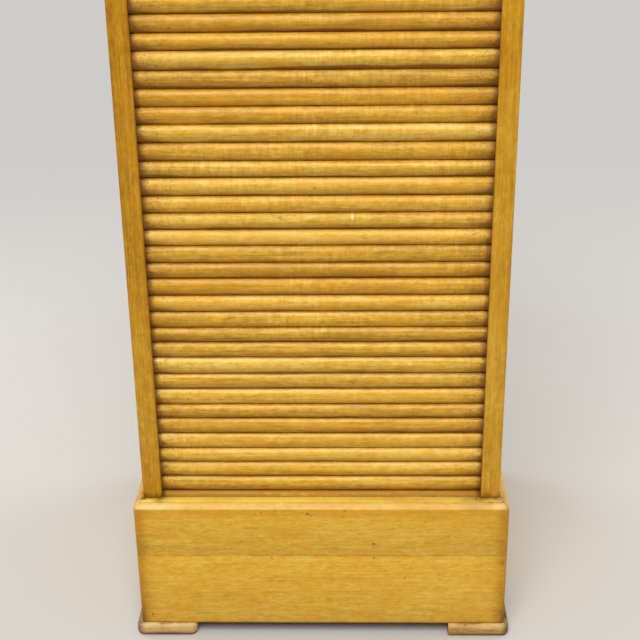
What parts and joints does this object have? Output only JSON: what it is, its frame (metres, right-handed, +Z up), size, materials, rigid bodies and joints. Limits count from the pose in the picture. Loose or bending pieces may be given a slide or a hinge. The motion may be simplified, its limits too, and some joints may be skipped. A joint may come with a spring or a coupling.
{
  "type": "tambour filing cabinet",
  "caption": "Tall wooden filing cabinet with a slatted front that drops into a deep plinth on bullnosed feet, a lockable lead rail and open shelves inside.",
  "frame": {"origin": "on the floor, in the middle of the footprint", "axes": "+Z up, +Y from the tambour front to the back, +X to the right as seen from the front"},
  "size_m": [0.47, 0.42, 1.2],
  "materials": {
    "case_wood": "amber varnish",
    "slat_wood": "amber varnish",
    "plinth_wood": "amber varnish",
    "foot_wood": "worn, bare",
    "inner_wood": "thin varnish",
    "canvas": "unbleached",
    "brass": "dulled",
    "steel": "dulled"
  },
  "bodies": {
    "case": {"left_side": "case_wood", "right_side": "case_wood", "top_board": "case_wood", "top_front_rail": "case_wood", "back_panel": "inner_wood", "plinth_front_lower": "plinth_wood", "plinth_front_upper": "plinth_wood", "plinth_side_left": "plinth_wood", "plinth_side_right": "plinth_wood", "plinth_back": "plinth_wood", "bend_cheek_left": "inner_wood", "bend_cheek_right": "inner_wood", "foot_front_left": "foot_wood", "foot_front_right": "foot_wood", "foot_rear_left": "foot_wood", "foot_rear_right": "foot_wood", "inner_back": "inner_wood", "inner_batten_left": "inner_wood", "inner_batten_right": "inner_wood", "deck_board": "inner_wood", "shelf_cleats_left": "inner_wood", "shelf_cleats_right": "inner_wood", "shelf_1": "inner_wood", "shelf_2": "inner_wood", "shelf_3": "inner_wood", "shelf_4": "inner_wood", "shelf_5": "inner_wood", "shelf_6": "inner_wood", "shelf_7": "inner_wood", "shelf_8": "inner_wood", "back_screws": "steel", "inner_back_screws": "steel", "cleat_screws": "steel", "cheek_screws": "steel", "foot_screws": "steel", "top_dowels": "inner_wood", "plinth_dowels": "inner_wood", "keeper": "steel", "keeper_screws": "steel"},
    "tambour": {"tambour_slats": "slat_wood", "canvas_backing": "canvas", "canvas_batten": "inner_wood", "lead_rail": "case_wood", "pull_moulding": "case_wood", "pull_screws": "steel", "lock_case": "steel", "lock_escutcheon": "brass"},
    "lock": {"lock_plug": "brass", "hook_cam": "steel", "cam_screw": "steel"}
  },
  "joints": [
    {"name": "tambour_drop", "type": "slide", "parent": "case", "child": "tambour", "axis": [0, 0, -1], "range_m": [0, 0.9047], "deforming": ["tambour_slats", "canvas_backing"]},
    {"name": "lock_turn", "type": "hinge", "parent": "tambour", "child": "lock", "pos_m": [0, -0.189, 1.128], "axis": [0, -1, 0], "range_deg": [0, 90]}
  ]
}
